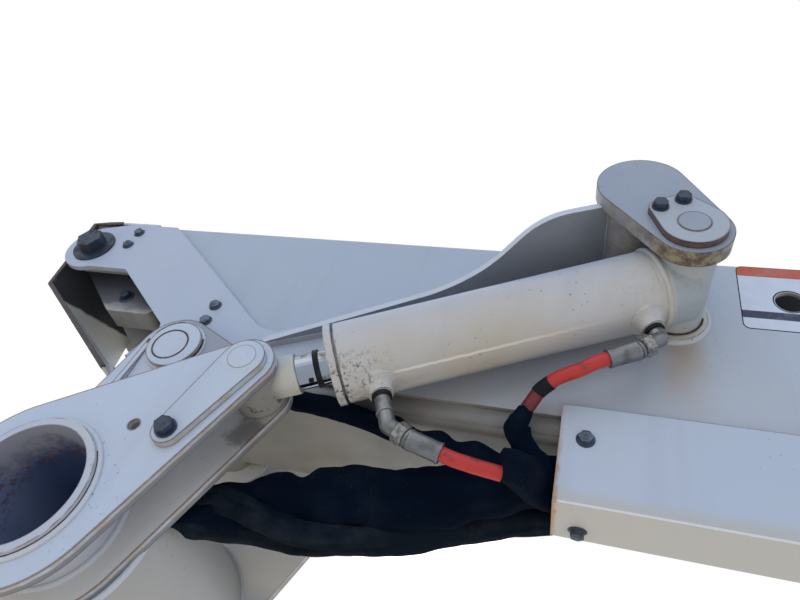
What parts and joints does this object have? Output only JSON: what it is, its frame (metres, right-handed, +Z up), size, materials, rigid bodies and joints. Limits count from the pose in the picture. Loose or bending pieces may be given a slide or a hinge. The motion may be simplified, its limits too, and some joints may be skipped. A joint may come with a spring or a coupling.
{
  "type": "boom elbow",
  "caption": "Elbow of an aerial lift's folding boom: box boom end with side lift cylinder, cap bracket, hose cover and a plate knuckle on a wide cross tube.",
  "frame": {"origin": "centre of the cross tube's bore, on its axis", "axes": "+X out along the boom, -Y towards the cylinder's side along the cross tube, +Z up with the boom folded level"},
  "size_m": [1.1522, 0.468, 0.6115],
  "materials": {
    "white_paint": "satin white paint, dusty, rust at edges",
    "dark_zinc": "dull dark zinc",
    "zinc": "dull zinc, dusty",
    "chrome": "polished",
    "red_hose": "smooth rubber",
    "black_fabric": "woven nylon",
    "black_plastic": "matt"
  },
  "bodies": {
    "knuckle": {"cross_tube": "white_paint", "hub_drum": "white_paint", "lever_plate": "white_paint", "main_plate_far": "white_paint", "main_plate_near": "white_paint", "pin_strap": "white_paint", "pivot_pin": "white_paint", "rod_pin": "white_paint", "strap_bolt": "dark_zinc", "web_gusset": "white_paint"},
    "boom": {"base_boss": "white_paint", "base_pin": "white_paint", "boom_box": "white_paint", "cap_plate": "white_paint", "cap_post": "white_paint", "cover_bracket_1": "white_paint", "cover_bracket_2": "white_paint", "extension_ram": "white_paint", "gusset": "white_paint", "hose_cover": "white_paint", "hose_sleeve": "black_fabric", "pin_retainer": "white_paint", "pivot_sleeve": "white_paint", "retainer_bolt_1": "dark_zinc", "retainer_bolt_2": "dark_zinc", "sleeve_low": "black_fabric", "tail_bolt": "dark_zinc", "tail_hood": "white_paint", "tail_nut": "dark_zinc", "tail_plate_far": "white_paint", "tail_plate_near": "white_paint", "tail_washer_far": "dark_zinc", "tail_washer_near": "dark_zinc"},
    "barrel": {"barrel_tube": "white_paint", "base_eye": "white_paint", "fitting_a": "zinc", "fitting_b": "zinc", "gland": "white_paint", "hose_a": "red_hose", "hose_b": "red_hose"},
    "rod": {"piston_rod": "chrome", "rod_eye": "white_paint", "rod_tie": "black_plastic"}
  },
  "joints": [
    {"name": "elbow", "type": "hinge", "parent": "knuckle", "child": "boom", "pos_m": [0, 0, 0.2245], "axis": [0, -1, 0], "range_deg": [0, 65]},
    {"name": "barrel_swing", "type": "hinge", "parent": "boom", "child": "barrel", "pos_m": [0.5835, -0.165, 0.3875], "axis": [0, -1, 0], "range_deg": [-1, 4]},
    {"name": "rod_slide", "type": "slide", "parent": "barrel", "child": "rod", "axis": [-0.8967, 0, -0.4427], "range_m": [0, 0.18]}
  ],
  "couplings": [
    {"joint": "barrel_swing", "follows": "elbow", "ratio": 0.048326},
    {"joint": "rod_slide", "follows": "elbow", "m_per_rad": 0.14684}
  ]
}
